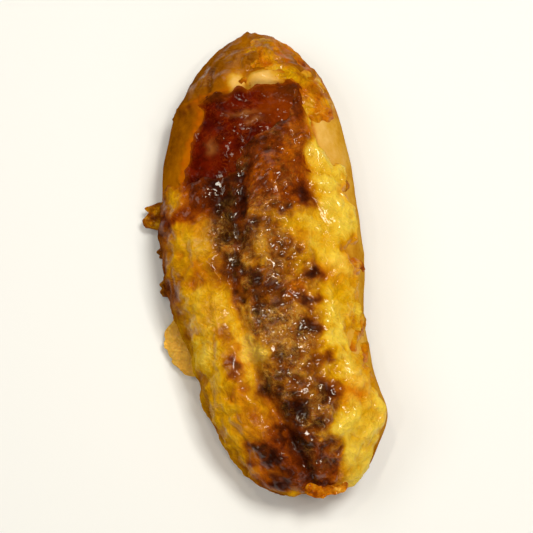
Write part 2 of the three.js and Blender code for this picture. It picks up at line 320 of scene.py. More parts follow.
def shade(red, green, blue):
    srgb = np.array([red, green, blue]) / 255
    linear = np.where(srgb < 0.04045, srgb / 12.92, ((srgb + 0.055) / 1.055) ** 2.4)
    return (*linear.tolist(), 1)


# Sets a node's sockets: another node's output is linked, and a plain value is set on the socket itself.
def feed(tree, fed, inputs):
    for socket, value in inputs.items():
        if isinstance(value, bpy.types.NodeSocket):
            tree.links.new(value, fed.inputs[socket])
        else:
            fed.inputs[socket].default_value = value


def node(tree, kind, inputs, **settings):
    made = tree.nodes.new("ShaderNode" + kind)
    for name, value in settings.items():
        setattr(made, name, value)
    feed(tree, made, inputs)
    return made


def mark(tree, name):
    return node(tree, "Attribute", {}, attribute_name=name).outputs["Fac"]


def reckon(tree, operation, *values):
    return node(tree, "Math", dict(enumerate(values)), operation=operation).outputs[0]


def product(tree, first, second):
    return reckon(tree, "MULTIPLY", first, second)


def sum_of(tree, first, second, times=1):
    return reckon(tree, "MULTIPLY_ADD", second, times, first)


def rescaled(tree, value, low, high, to_low, to_high, easing="LINEAR"):
    values = {0: value, 1: low, 2: high, 3: to_low, 4: to_high}
    return node(tree, "MapRange", values, interpolation_type=easing).outputs[0]


def tinted(tree, share, first, second):
    return node(tree, "Mix", {0: share, 6: first, 7: second}, data_type="RGBA").outputs[2]


def ramp(tree, value, stops):
    made = node(tree, "ValToRGB", {0: value})
    while len(made.color_ramp.elements) < len(stops):
        made.color_ramp.elements.new(0.5)
    for element, (place, colour) in zip(made.color_ramp.elements, stops):
        element.position = place
        element.color = colour
    return made.outputs[0]


def grain(tree, scale, detail=4, distortion=0.0):
    place = node(tree, "TexCoord", {}).outputs["Object"]
    values = {"Vector": place, "Scale": scale, "Detail": detail, "Distortion": distortion}
    return node(tree, "TexNoise", values).outputs[0]


def new_material(name):
    material = bpy.data.materials.new(name)
    material.use_nodes = True
    return material, material.node_tree, material.node_tree.nodes["Principled BSDF"]


def new_group(name, inputs, outputs, kind):
    group = bpy.data.node_groups.new(name, "ShaderNodeTree")
    for socket in inputs:
        group.interface.new_socket(name=socket, in_out="INPUT", socket_type="NodeSocketFloat")
    for socket in outputs:
        group.interface.new_socket(name=socket, in_out="OUTPUT", socket_type=kind)
    return group, group.nodes.new("NodeGroupInput").outputs, group.nodes.new("NodeGroupOutput")


def crinkle_lines(tree, scale, thickness):
    fold = reckon(tree, "ABSOLUTE", reckon(tree, "SUBTRACT", grain(tree, scale, 1, 1.6), 0.5))
    return rescaled(tree, fold, 0, thickness, 1, 0, "SMOOTHSTEP")


# Fine crinkles of an oily skin, on crust, sauce and cheese alike: the height of the crinkles, the pale
# crests, where the skin has dried and where highlights are painted, and the places where oil has gathered
# into a wet film.
skin_inputs, skin_outputs = ("Fineness", "Line Width", "Crest Paleness", "Wetness"), ("Crinkle", "Crest", "Oil")
oily_skin, skin_in, skin_out = new_group("oily_skin", skin_inputs, skin_outputs, "NodeSocketFloat")
fine, line_width = skin_in["Fineness"], skin_in["Line Width"]
coarse = product(oily_skin, fine, 0.55)
fine_lines = crinkle_lines(oily_skin, fine, line_width)
lines = reckon(oily_skin, "MAXIMUM", fine_lines, crinkle_lines(oily_skin, coarse, line_width))
patches = grain(oily_skin, product(oily_skin, fine, 0.2), 2)
pale_crest_patches = rescaled(oily_skin, patches, 0.35, 0.6, 0, skin_in["Crest Paleness"])
pools = grain(oily_skin, coarse, 2, 0.5)
feed(oily_skin, skin_out, {
    "Crinkle": sum_of(oily_skin, grain(oily_skin, fine, 1, 0.6), lines, 0.3),
    "Crest": product(oily_skin, lines, pale_crest_patches),
    "Oil": rescaled(oily_skin, pools, 0.44, 0.57, 0, skin_in["Wetness"]),
})


def skin_nodes(tree, fineness, line_width, crest_paleness, wetness):
    values = {"Fineness": fineness, "Line Width": line_width, "Crest Paleness": crest_paleness, "Wetness": wetness}
    return node(tree, "Group", values, node_tree=oily_skin).outputs


# The gloss of every finish on the stick is its wet coat, so the layers under the coats don't shine.
crust_finish, tree, crust_shader = new_material("golden_crust")
toasted_and_shaded = sum_of(tree, mark(tree, "toast_and_shade"), grain(tree, 240), 0.2)
toasted_and_shaded = sum_of(tree, toasted_and_shaded, grain(tree, 900, 2), 0.14)
crust_colour = ramp(tree, toasted_and_shaded, [
    (0.1, shade(216, 172, 92)), (0.32, shade(200, 148, 42)), (0.52, shade(168, 102, 2)),
    (0.68, shade(142, 82, 2)), (0.85, shade(104, 54, 2)), (1.0, shade(60, 26, 2)),
])
crust_colour = tinted(tree, mark(tree, "stain"), crust_colour, shade(166, 84, 2))
skin = skin_nodes(tree, fineness=280, line_width=0.05, crest_paleness=0.12, wetness=1)
# Pale crests on the glazed crust: dried skin, and painted highlights.
dried_and_highlit = product(tree, skin["Crest"], mark(tree, "glaze"))
crust_colour = tinted(tree, dried_and_highlit, crust_colour, shade(214, 162, 62))
crust_colour = tinted(tree, mark(tree, "scorch"), crust_colour, shade(104, 48, 8))
oiled = product(tree, product(tree, skin["Oil"], mark(tree, "glaze")), 0.6)
pores = sum_of(tree, grain(tree, 700, 3), dried_and_highlit, 1.5)
pores = node(tree, "Bump", {"Height": pores, "Strength": 0.4, "Distance": 0.0006})
feed(tree, crust_shader, {
    "Base Color": crust_colour, "Normal": pores.outputs[0], "Roughness": 0.5, "Specular IOR Level": 0,
    "Coat Weight": oiled, "Coat Roughness": 0.1, "Coat IOR": 1.35,
    "Subsurface Weight": 0.08, "Subsurface Radius": (0.0016, 0.0008, 0.0002), "Subsurface Scale": 1,
})
dough.data.materials.append(crust_finish)
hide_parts("dough")
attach(dough, "root")

# Tomato sauce: a layer of crushed tomato spread in the hollow below the lip before baking. It cooks down
# to a dark wet gloss, with clots of pulp, threads of cheese that sank into it, and a film of melted
# cheese over its right half.
SAUCE_RINGS, SAUCE_ACROSS, SAUCE_BACK = 200, 160, 14
SAUCE_NEAR, SAUCE_RIGHT = 0.01, 0.68
SAUCE_BELOW_BRIM = 0.6
RIM_DIP, BACK_DEPTH = 0.9, 1.5

# Smears of cheese in the sauce: across and along from the middle of the stick, and half sizes.
SMEARS = [(3.2, 51.3, 5, 1), (5, 48.3, 3, 1.2), (-10, 40.4, 1.5, 3), (20, 37, 2.6, 1.6), (14, 35, 1.8, 1.4)]


# A topping as a closed sleeve: its top, then a coarse back that lies inside the loaf. The marks that
# belong to the top are carried round to the back.
def sleeve(s, turn, thickness, back_count, marks):
    back = np.linspace(0, s.shape[1] - 1, back_count + 2)[-2:0:-1].astype(int)
    under = crust(s[:, back], turn[:, back]) - BACK_DEPTH * outward(s[:, back], turn[:, back])
    top = crust(s, turn) + outward(s, turn) * thickness[..., None]
    carried = {name: [np.concatenate([m, m[:, back]], axis=1)] for name, m in marks.items()}
    return np.concatenate([top, under], axis=1), carried


# A topping's thickness over the crust: it thins out and dips under the crust at its rim.
def rimmed(inside, depth):
    return -RIM_DIP + smoothstep(inside, -1, 1.4) * (RIM_DIP + depth)


def clots(at):
    return 0.5 * swells(at, 8, 3, 12) + 0.2 * folds(at, 5, 2, 13)


# How high the sauce stands over the loaf's skin.
def sauce_level(s, a, at):
    return np.maximum(0.25, TRAY_DEPTH * tray(s, a) - SAUCE_BELOW_BRIM + clots(at))


# A small random sideways shift, for ragged rims.
def wobble_at(points):
    return np.stack([swells(points, 4, 2, 21), swells(points, 4, 2, 22), 0 * points[..., 0]], axis=-1)


share_along = np.linspace(0, 1, SAUCE_RINGS)[:, None]
share_across = np.linspace(0, 1, SAUCE_ACROSS)[None, :]
sauce_s = SAUCE_NEAR + share_along * (lip_front_at(SAUCE_RIGHT - 1.3 * share_across) + 0.03)
sauce_a = SAUCE_RIGHT + share_across * (tray_left_at(sauce_s) - 0.12 - SAUCE_RIGHT)
sauce_turn = turn_at(sauce_a)
sauce_at = loaf(sauce_s, sauce_turn)
smear_at = sauce_at + 1.5 * wobble_at(sauce_at)
inside = sauce_shore(sauce_s, sauce_a) + 1.4 * swells(sauce_at, 5, 2, 11)
inside = inside + 4 * swells(sauce_at, 10, 2, 17) * smoothstep(sauce_a, 0.2, 0.5)
smeared = np.max([bump(from_spot(smear_at, *smear), 0, 1) for smear in SMEARS], axis=0)
sauce_depth = rimmed(inside, sauce_level(sauce_s, sauce_a, sauce_at) + 0.7 * smeared)
sauce_film = smoothstep(sauce_a + 0.5 * (0.45 - sauce_s) + 0.4 * swells(sauce_at, 9, 3, 14), -0.1, 0.5)
sauce_marks = {"film": sauce_film, "smear": smeared, "pulp": clots(sauce_at), "scorch": charred(sauce_at)}
sauce_marks["shallow"] = 1 - smoothstep(inside, 0.2, 3)
sauce_body, sauce_marks = sleeve(sauce_s, sauce_turn, sauce_depth, SAUCE_BACK, sauce_marks)
sauce = ringed_piece("tomato_sauce", [sauce_body], sauce_marks)

sauce_finish, tree, sauce_shader = new_material("cooked_tomato")
skin = skin_nodes(tree, fineness=480, line_width=0.05, crest_paleness=0.5, wetness=0.4)
depth_tone = sum_of(tree, grain(tree, 190, 4, 0.6), mark(tree, "pulp"), 0.4)
sauce_colour = ramp(tree, depth_tone, [
    (0.25, shade(46, 4, 1)), (0.5, shade(70, 9, 1)), (0.75, shade(100, 21, 2)),
])
filmed = product(tree, mark(tree, "film"), grain(tree, 330, 3))
sauce_colour = tinted(tree, sum_of(tree, filmed, filmed), sauce_colour, shade(120, 46, 1))
# The crests are painted paler: dried skin, and painted highlights.
sauce_colour = tinted(tree, skin["Crest"], sauce_colour, shade(128, 50, 8))
sauce_colour = tinted(tree, mark(tree, "shallow"), sauce_colour, shade(132, 60, 2))
sauce_colour = tinted(tree, product(tree, mark(tree, "smear"), 0.45), sauce_colour, shade(170, 104, 48))
sauce_colour = tinted(tree, mark(tree, "scorch"), sauce_colour, shade(84, 36, 6))
wet = node(tree, "Bump", {"Height": skin["Crinkle"], "Strength": 0.6, "Distance": 0.0006})
feed(tree, sauce_shader, {
    "Base Color": sauce_colour, "Normal": wet.outputs[0], "Roughness": 0.3, "Specular IOR Level": 0,
    "Coat Weight": skin["Oil"], "Coat Roughness": 0.1, "Coat IOR": 1.33,
})
sauce.data.materials.append(sauce_finish)
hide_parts("sauce")
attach(sauce, "root")

# Cheese blanket: grated cheese, strewn over the loaf and melted in the oven into one oily sheet. Its
# half-sunk shreds still show at the right, the middle has blistered and burnt in spots, and it is thin
# and torn towards its hem.
CHEESE_RINGS, CHEESE_ACROSS, CHEESE_BACK = 380, 230, 14
CHEESE_DEPTH = 1.1
CHEESE_NEAR, CHEESE_SPAN = -0.994, (10, 212)
RIGHT_HEM, LEFT_HEM, NEAR_HEM = np.radians(26), np.radians(205), -0.985
SKIN_PER_RADIAN = 30
FAR_ACROSS = [-1, -0.7, -0.52, -0.36, -0.1, 0.1, 0.3, 0.5, 0.58, 0.66, 0.8, 0.95]
FAR_EDGE = [0.27, 0.36, 0.38, 0.34, 0.42, 0.5, 0.56, 0.62, 0.58, 0.44, 0.35, 0.3]
SHRED_COUNT, SHRED_LENGTH, SHRED_WIDTH, SHRED_HEIGHT = 420, (7, 17), (1.5, 2.6), (0.35, 0.85)

# Bare places where the crust shows between the shreds at the right: across and along in millimetres from
# the middle of the stick, and half their sizes.
BARE_PATCHES = [(36, -3, 4.6, 4), (37, -16, 4, 5.5), (29, -35, 2.6, 5), (34, -38, 3, 7), (38, 19, 3.5, 6)]

# Burnt spots: across and along in millimetres from the middle of the stick, half sizes and darkness.
BURNT_SPOTS = [
    (19, 18, 3, 3.4, 1), (-2, 23, 1.4, 9, 0.9), (-9, 25, 5, 4, 0.6), (-11, 19.5, 3.5, 4, 0.6),
    (-7.5, 11, 4.4, 4, 0.75), (-2, 7.5, 3, 3, 0.75), (-12, -4.5, 3.6, 4, 0.75), (6, -5.5, 3, 3, 0.75),
    (-1.5, -10, 2.6, 2.6, 0.7), (3.5, -13.5, 4, 3.2, 0.85), (18, -9.5, 3, 2.6, 1), (15, -19.5, 3.6, 2.8, 0.9),
    (-2.5, -22, 1.3, 4.5, 0.8), (15, -29, 4, 3.4, 0.95), (-3.5, -28, 3, 2.4, 0.75), (6, -37, 4, 2, 0.75),
    (18.5, -39.5, 3.6, 3.4, 0.85), (-14, -27, 3.2, 3, 0.45), (-13, -37, 2.4, 3, 0.5), (2, -44, 2, 2, 0.85),
    (-4, -47.5, 2.4, 1.8, 0.8), (6, -55, 3.8, 4.6, 1), (17, -51, 3.6, 4, 0.85), (14, -60, 2.6, 2.6, 0.8),
    (5.5, -66, 3.8, 6, 0.85), (0, -62, 2, 5, 0.7), (-8, -67, 3, 2.6, 1), (-4, -70, 3, 2.6, 1),
    (-2, -77, 4, 3, 1), (8, -77, 4, 2.6, 0.4),
]

# Patches that came out redder, paler or drier than their surroundings: place and half sizes as above, then
# how much more baked, rusty and dry they are.
PATCHES = [
    (-20, 25, 3.4, 9, 0.14, 0.9, 0), (-21, -2.5, 4, 5, 0.12, 0.8, 0), (-8, 18.5, 6.5, 5, 0.25, 0.2, 0),
    (-9, 2.5, 4, 7.5, 0.25, 0.1, 0.2), (-17, 6.5, 5.5, 5, 0.05, 0, 0.6), (-17, -18, 5.5, 7, 0.03, 0, 0.5),
    (-23, -32, 5, 8, -0.14, -0.3, 0), (-12, -38, 2.6, 9, 0.22, 0.8, 0),
    (-7.5, -57.5, 6.5, 8.5, 0.12, 0.6, 0.1), (-6.5, -34.5, 4.6, 8, -0.34, -0.2, 0.9),
    (27, -51, 5, 6, 0.05, 0.6, 0), (-25, 18, 7, 3.5, 0.25, 1, 0), (11, -15, 4, 5, -0.1, 0.6, 0),
    (20, -68, 6, 8, -0.1, -0.3, 0), (-1, -66, 6, 8, 0.22, 0.7, 0),
    (9, -74, 5, 5, 0.15, 0.6, 0), (25, -18, 6, 7, 0.16, 0, 0), (26, 5, 6, 8, 0.06, 0, 0),
    (-20, -55, 6, 9, 0.05, 0, 0), (28, -33, 4, 6, -0.1, -0.4, 0), (-29, -6, 4, 8, 0.16, 0, 0),
    (-20, -19, 6, 7, 0.08, 0, 0), (-8.5, -74, 4, 4, 0.16, 0.5, 0), (2, 3, 5, 5, -0.05, 0, 0.6),
    (2, -28, 6, 6, -0.08, 0, 0.6), (8, -34, 5, 5, -0.08, 0, 0.5),
]

# Pale puffed shreds between the burnt spots, whose skin has dried: places and half sizes as above.
PALE_SHREDS = [
    (2.7, 4.2, 2, 3.4), (-4.2, -2.8, 1.8, 3.4), (-6.2, -22, 2, 4), (-9.2, 2.4, 2.4, 1.8), (2.7, -6, 2.4, 3),
    (10.7, -22.5, 2.6, 2.2), (-6.6, -32, 2.4, 4), (-3.2, -36, 2.8, 2.4), (5, -34, 3, 2.2),
    (8, -12, 2.6, 1.8),
]
SHRED_SEED = 7
rng = np.random.default_rng(SHRED_SEED)


# Relief of half-sunk shreds of cheese that were strewn every which way over a stretch of the loaf.
def strewn_shreds(base, count, s_span, turn_span, lengths, widths, heights):
    relief = np.zeros(base.shape[:-1])
    t = np.linspace(-0.5, 0.5, 8)
    margin = 4
    for _ in range(count):
        s, turn = rng.uniform(*s_span), rng.uniform(*turn_span)
        heading = rng.uniform(0, np.pi) + rng.uniform(-0.8, 0.8) * t
        length, width, height = rng.uniform(*lengths), rng.uniform(*widths), rng.uniform(*heights)
        path_s = np.clip(s + length * t * np.cos(heading) / HALF_LENGTH, -0.98, 0.98)
        path = loaf(path_s, turn + length * t * np.sin(heading) / SKIN_PER_RADIAN)
        near = np.all((base > path.min(axis=0) - margin) & (base < path.max(axis=0) + margin), axis=-1)
        start, run = path[:-1], path[1:] - path[:-1]
        reach = np.einsum("psk,sk->ps", base[near][:, None] - start, run) / (run**2).sum(axis=1)
        foot = start + np.clip(reach, 0, 1)[..., None] * run
        gap = np.linalg.norm(base[near][:, None] - foot, axis=-1).min(axis=1)
        profile = height * np.maximum(0, 1 - (gap / width) ** 2)
        relief[near] = np.maximum(relief[near], profile + 0.3 * relief[near])
    return relief


# A crumpled film: small flat facets that rise from a pit to sharp ridges between them, from 0 to 1.
def crumpled(points, size, seed):
    places = field_places(points, size, seed)
    pits = [noise.voronoi(place, distance_metric="MANHATTAN")[0][0] for place in places]
    return np.clip(np.array(pits), 0, 1).reshape(points.shape[:-1])


cheese_turn = np.radians(np.linspace(*CHEESE_SPAN, CHEESE_ACROSS))[None, :]
far_edge = np.interp(across(cheese_turn), FAR_ACROSS, FAR_EDGE)
cheese_s = CHEESE_NEAR + (far_edge + 0.05 - CHEESE_NEAR) * np.linspace(0, 1, CHEESE_RINGS)[:, None]
cheese_s, cheese_turn, far_edge = np.broadcast_arrays(cheese_s, cheese_turn, far_edge)
cheese_a = across(cheese_turn)
cheese_at = crust(cheese_s, cheese_turn)
ragged = wobble_at(cheese_at)
ragged_at = cheese_at + 2.4 * ragged

# Millimetres in from the torn edge of the blanket.
from_far = (far_edge - cheese_s) * HALF_LENGTH + 5 * swells(cheese_at, 11, 3, 30)
from_far = from_far + 2.5 * swells(cheese_at, 4, 2, 40)
from_far = from_far + 4 * swells(cheese_at, 7, 2, 46) * smoothstep(-cheese_a, 0.6, 0.9)
from_sides = SKIN_PER_RADIAN * np.minimum(cheese_turn - RIGHT_HEM, LEFT_HEM - cheese_turn)
from_near = (cheese_s - NEAR_HEM) * HALF_LENGTH
from_edge = np.minimum(np.minimum(from_sides, from_near) + 2.2 * swells(cheese_at, 8, 3, 23), from_far)
for patch in BARE_PATCHES:
    from_edge = np.minimum(from_edge, 2.5 * (from_spot(cheese_at + 1.8 * ragged, *patch) - 1))

# The zones of the blanket: its browned middle, what lies on the sauce, the near tip, and the crease and
# the steep left flank, where shade is painted.
crease = crease_at(cheese_s)
wander = 0.2 * swells(cheese_at, 12, 2, 33)
band_left = crease - 0.24 * smoothstep(cheese_s, -0.12, 0.1) + 0.5 * wander
middle_band = smoothstep(cheese_a, band_left - 0.05, band_left + 0.09)
band_right = cheese_a + wander * (1 + 1.5 * smoothstep(-cheese_s, 0.55, 0.75))
middle_band = middle_band * (1 - smoothstep(band_right, 0.22, 0.54))
left_ridge = smoothstep(-cheese_a, 0.3, 0.5) * (1 - middle_band)
# The steep left flank is browned darker as painted shade.
left_flank_shade = smoothstep(cheese_turn, np.radians(138), np.radians(170))
on_sauce = smoothstep(cheese_s, 0.1, 0.26) * smoothstep(cheese_a, -0.8, -0.6)
on_sauce = on_sauce * (1 - smoothstep(cheese_a + wander, 0.4, 0.6))
# The crease is browned darker and redder as painted shade.
crease_shade = bump(cheese_a, crease + 0.01, 0.07) * (0.3 + 0.7 * smoothstep(cheese_s, -0.35, -0.05))
crease_shade = crease_shade * (1 - smoothstep(cheese_s + 0.5 * wander, 0.2, 0.36))
last_bit = 1 - smoothstep(cheese_s, -0.96, -0.8)
near_tip = (1 - smoothstep(cheese_s, -0.96, -0.72)) * smoothstep(cheese_a, -0.68, -0.35)
near_tip = near_tip * (1 - smoothstep(cheese_a + 2 * wander - 0.4 * last_bit, 0.1, 0.7))
burnt = [dark * bump(from_spot(ragged_at, *spot), 0, 1.15) for *spot, dark in BURNT_SPOTS]
burnt = np.max(burnt, axis=0)
puffed = [bump(from_spot(cheese_at + ragged, *shred) ** 2, 0, 1) for shred in PALE_SHREDS]
puffed = np.max(puffed, axis=0)

# How thick the melted cheese stands, with its shreds, lumps, wrinkles, facets and blisters.
shreds = strewn_shreds(
    cheese_at, SHRED_COUNT, (-0.97, 0.5), (0.28, 3.5), SHRED_LENGTH, SHRED_WIDTH, SHRED_HEIGHT
)
blisters, lumps = swells(cheese_at, 4.5, 2, 24), swells(cheese_at, 8, 2, 25)
wrinkles = folds(cheese_at + 2 * ragged[..., :1], 7, 2, 31)
wrinkles = wrinkles + 0.6 * folds(cheese_at + ragged[..., :1], 2.6, 1, 34)
facets = crumpled(cheese_at + ragged, 3.4, 35) + 0.5 * crumpled(cheese_at + 0.6 * ragged, 1.8, 37)
melted = CHEESE_DEPTH + 0.8 * lumps + shreds * (1 - 0.5 * middle_band)
melted = melted + 0.34 * wrinkles * (1 - 0.45 * left_ridge) + (0.15 + 0.6 * middle_band) * facets
melted = melted + middle_band * np.where(blisters > 0, 1.6, 0.9) * blisters + 0.4 * burnt + 0.9 * puffed
thin = 0.3 + 0.7 * smoothstep(from_far, 0, 9)
on_level = sauce_level(cheese_s, cheese_a, loaf(cheese_s, cheese_turn)) * on_sauce
melted = np.maximum(melted, 0.25) * thin * (1 - 0.6 * on_sauce) + on_level
thickness = rimmed(from_edge, melted)

# How browned, reddened, dried and oily each point of the cheese is. Shade is painted into the crease, onto
# the steep left flank and into the hollows, and highlights onto the crests.
fried_hem = 1 - smoothstep(from_edge, 0, 3)
bake = 0.08 - 0.05 * smoothstep(cheese_a, 0.3, 0.5) + 0.5 * middle_band
bake = bake + left_ridge * (0.08 + 0.07 * smoothstep(cheese_s, -0.2, 0.1)) + 0.32 * near_tip
# Painted shade: the steep left flank and the crease are browned darker.
bake = bake + left_flank_shade * (0.2 + 0.16 * smoothstep(cheese_s, -0.25, -0.05)) + 0.5 * crease_shade
bake = np.minimum(np.maximum(bake, 0.46 * on_sauce), 0.58 + 0.1 * crease_shade)
# Raised lumps, blisters, facet ridges, shreds and wrinkle crests are made paler and the hollows between them
# darker: partly dried crests and pooled oil, partly painted highlight and painted shade.
lump_highlight_and_shade = 0.1 * lumps + 0.2 * middle_band * blisters
bake = bake - 0.25 * middle_band * (facets - 0.7) - lump_highlight_and_shade * (1 - 0.6 * on_sauce)
bake = bake + 0.08 * swells(cheese_at, 14, 2, 28)
bake = bake - 0.1 * (shreds - 0.4) * (1 - middle_band)
bake = bake + burnt * np.maximum(0.3, 0.8 - bake)
bake = bake + 0.15 * fried_hem * (1 - on_sauce) - 0.06 * (wrinkles - 1)
bake = bake + 0.16 * on_sauce * (1 - smoothstep(from_far, 0, 13)) - 0.2 * puffed
rust = on_sauce + 0.3 * middle_band + 0.25 * np.maximum(0, -lumps) + 0.8 * near_tip
rust = rust + 0.5 * fried_hem + 0.4 * crease_shade + 0.3 * burnt
rust = np.clip(rust + 0.35 * smoothstep(swells(cheese_at, 9, 3, 29), 0.15, 0.5), 0, 1)
clusters = 0.1 + 0.6 * smoothstep(swells(cheese_at, 7, 2, 41) + 0.5 * blisters, -0.1, 0.3)
dry = middle_band * (1 - 0.75 * on_sauce) * clusters * (1 - burnt) * (1 - crease_shade) * (1 - near_tip)
dry = dry + 0.5 * puffed
for *place, more_bake, more_rust, more_dry in PATCHES:
    here = bump(from_spot(ragged_at, *place), 0, 1)
    bake = bake + more_bake * here
    rust = rust + more_rust * here
    dry = dry + more_dry * here
cheese_film = np.maximum(middle_band, near_tip)
oily = facing_up(cheese_s, cheese_turn, 0.2, 0.65) * (1.0 + 0.4 * cheese_film + 0.5 * burnt)
cheese_marks = {"bake": bake, "rust": np.clip(rust, 0, 1), "dry": np.clip(dry, 0, 1), "wet": oily}
cheese_marks["film"] = np.maximum(cheese_film, on_sauce)
cheese_body, cheese_marks = sleeve(cheese_s, cheese_turn, thickness, CHEESE_BACK, cheese_marks)
cheese = ringed_piece("cheese_blanket", [cheese_body], cheese_marks)

# How cheese colours in the oven: from pale yellow through amber to char, and reddish where it has taken
# up sauce or fried at an edge.
oven_colour, oven_in, oven_out = new_group("oven_colour", ("Bake", "Rust"), ("Colour",), "NodeSocketColor")
baked = sum_of(oven_colour, oven_in["Bake"], grain(oven_colour, 300, 2), 0.16)
plain = ramp(oven_colour, baked, [
    (0.08, shade(224, 190, 64)), (0.26, shade(205, 153, 8)), (0.42, shade(170, 114, 5)),
    (0.58, shade(138, 76, 8)), (0.75, shade(92, 40, 5)), (0.95, shade(52, 17, 4)),
])
rusty = ramp(oven_colour, baked, [
    (0, shade(244, 186, 78)), (0.12, shade(214, 146, 34)), (0.26, shade(200, 118, 10)),
    (0.42, shade(168, 84, 4)), (0.58, shade(124, 50, 3)), (0.75, shade(80, 27, 3)), (0.95, shade(44, 12, 3)),
])
feed(oven_colour, oven_out, {"Colour": tinted(oven_colour, oven_in["Rust"], plain, rusty)})


def blend(tree, share, first, second):
    return node(tree, "Mix", {0: share, 2: first, 3: second}).outputs[0]


# Cheese as it comes out of the oven. Where a blistered film has formed, its crinkles are tighter and
# sharper, and their crests have dried pale. The crests are painted paler still, as painted highlights.
def cheese_finish(name, fineness, filmed):
    material, tree, shader = new_material(name)
    browning = node(tree, "Group", {"Rust": mark(tree, "rust")}, node_tree=oven_colour)
    colour = browning.outputs["Colour"]
    skin = skin_nodes(tree, fineness, line_width=0.06, crest_paleness=0.45, wetness=1)
    height, crests, oil = skin["Crinkle"], skin["Crest"], skin["Oil"]
    if filmed:
        film = mark(tree, "film")
        tight = skin_nodes(tree, fineness=560, line_width=0.05, crest_paleness=0.6, wetness=1)
        height = blend(tree, film, product(tree, height, 0.65), product(tree, tight["Crinkle"], 1.4))
        crests = blend(tree, film, crests, tight["Crest"])
        oil = blend(tree, film, oil, tight["Oil"])
        # The tight crests in dry places are painted tan: dried skin, and painted highlights.
        dried_and_highlit = rescaled(tree, tight["Crinkle"], 0.5, 0.84, 0.1, 0.85)
        colour = tinted(tree, product(tree, dried_and_highlit, mark(tree, "dry")), colour, shade(210, 158, 70))
    # Crests are made paler: dried skin, and painted highlights.
    feed(tree, browning, {"Bake": sum_of(tree, mark(tree, "bake"), crests, -0.16)})
    bumps = node(tree, "Bump", {"Height": height, "Strength": 0.9, "Distance": 0.0009})
    beads = product(tree, sum_of(tree, 0.06, oil, 0.65), mark(tree, "wet"))
    feed(tree, shader, {
        "Base Color": colour, "Normal": bumps.outputs[0], "Roughness": 0.42, "Specular IOR Level": 0,
        "Coat Weight": beads, "Coat Roughness": 0.09, "Coat IOR": 1.4,
        "Subsurface Weight": 0.2, "Subsurface Radius": (0.0018, 0.001, 0.0002), "Subsurface Scale": 1,
    })
    return material


cheese.data.materials.append(cheese_finish("melted_cheese", 260, True))
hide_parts("cheese")
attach(cheese, "root")

# Loose shreds: a net of shreds that fell past the blanket on the right flank, the right shoulder and the
# lip. They have slumped and fried orange, bare crust shows between them, and they are fused to it. The
# strands are single shreds, as lines through places across and along from the middle of the stick.
NET_BACK = 8
NET_LENGTH, NET_WIDTH, NET_HEIGHT = (7, 16), (1.2, 2.0), (0.5, 1.0)
FLANK_NET = {"s": (-0.76, 0.5), "turn": (0.06, 0.86), "shreds": 100, "rings": 260, "across": 60}
FLANK_STRANDS = [
    [(27.4, 20.7), (31.9, 18.8), (36, 22.4)], [(30.2, 24.9), (31.7, 20.6), (27, 17.9)],
    [(30.4, -7), (34.2, -6.5), (36.3, -7.8)], [(30.3, -12.6), (33.5, -8.7), (36, -6.8)],
    [(35, -25), (31.3, -32.3), (28.6, -37)], [(34, -35), (31.8, -40.2), (29.8, -45.4)],
]
LIP_NET = {"s": (0.44, 0.96), "turn": (0.3, 1.75), "shreds": 50, "rings": 120, "across": 120}
LIP_STRANDS = [
    [(14.4, 76.4), (12.5, 73.3), (11.3, 70)], [(9.2, 69), (13, 69), (16, 68)],
    [(13, 66.7), (18.5, 67.3), (23.5, 64.7)], [(16.8, 63), (21.3, 63.8), (25.3, 62.7)],
    [(23.5, 57.3), (26.2, 54.8), (28.8, 52.3)], [(23.2, 51.7), (26.6, 50), (32, 50.4)],
    [(25.2, 48.4), (28.8, 46.6), (33.2, 48)], [(29.6, 58.3), (32.6, 53.3), (33.4, 49.8)],
]


# Strewn shreds show on the lip and its right shoulder, clear of the pale bread there. Elsewhere the net
# lies just under the crust, and only its strands show.
def shred_net(net, strands):
    s = np.linspace(*net["s"], net["rings"])[:, None]
    turn = np.linspace(*net["turn"], net["across"])[None, :]
    s, turn = np.broadcast_arrays(s, turn)
    a, at = across(turn), crust(s, turn)
    relief = strewn_shreds(at, net["shreds"], net["s"], net["turn"], NET_LENGTH, NET_WIDTH, NET_HEIGHT)
    edge = np.minimum(s - net["s"][0], net["s"][1] - s) * HALF_LENGTH
    edge = np.minimum(edge, SKIN_PER_RADIAN * np.minimum(turn - net["turn"][0], net["turn"][1] - turn))
    edge = np.minimum(edge, HALF_LENGTH * (s - 0.77) + 60 * np.maximum(0, a - 0.42))
    edge = np.minimum(edge, 12 * (np.hypot((s - 0.4) / 0.13, (a - 0.84) / 0.27) - 1))
    scrap = smoothstep(swells(at, 9, 2, 42), 0.02, 0.3)
    strand_at = at + wobble_at(at)
    laid = np.max([1.1 * bump(from_line(strand_at, strand), 0, 1.1) for strand in strands], axis=0)
    thickness = -0.25 + np.maximum(smoothstep(edge, 0, 5) * np.maximum(relief, 0.5 * scrap), laid)
    thickness = thickness + 0.06 * swells(at, 2.2, 2, 43)
    bake = 0.22 + 0.1 * scrap + 0.2 * swells(at, 4, 3, 44)
    rust = np.clip(0.85 - 0.3 * smoothstep(s, 0.5, 0.7) + 1.2 * swells(at, 7, 2, 45), 0, 1)
    oily = 0.7 * facing_up(s, turn, 0.15, 0.6)
    return sleeve(s, turn, thickness, NET_BACK, {"bake": bake, "rust": rust, "wet": oily})


nets = [shred_net(FLANK_NET, FLANK_STRANDS), shred_net(LIP_NET, LIP_STRANDS)]
net_marks = {name: [marks[name][0] for _, marks in nets] for name in ("bake", "rust", "wet")}
loose_shreds = ringed_piece("cheese_shreds", [body for body, _ in nets], net_marks)
loose_shreds.data.materials.append(cheese_finish("fried_shreds", 320, False))
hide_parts("cheese")
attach(loose_shreds, "root")

